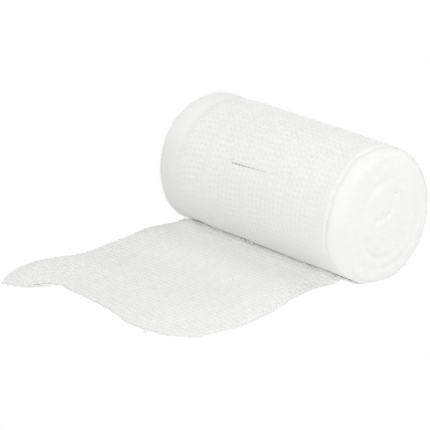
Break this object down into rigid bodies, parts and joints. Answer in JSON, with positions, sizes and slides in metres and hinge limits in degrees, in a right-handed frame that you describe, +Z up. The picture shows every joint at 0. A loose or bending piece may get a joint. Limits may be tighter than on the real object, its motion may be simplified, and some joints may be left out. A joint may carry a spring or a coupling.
{
  "type": "elastic fixation bandage roll",
  "caption": "Roll of white elastic gauze bandage lying on its own loose end, with a wound side, coiled end faces and a low wavy flap of unrolled cloth.",
  "frame": {"origin": "on the floor, on the roll's flat spot, under the middle of the roll's length", "axes": "+X along the roll, towards the end face that the picture shows; -Y along the loose end, away from the roll; +Z up"},
  "size_m": [0.0823, 0.1069, 0.0426],
  "materials": {
    "wound_gauze": "matte white crepe gauze, many turns deep",
    "loose_gauze": "matte white crepe gauze, one open-woven layer"
  },
  "bodies": {
    "root": {"wound_roll": "wound_gauze", "loose_end": "loose_gauze"}
  },
  "joints": []
}
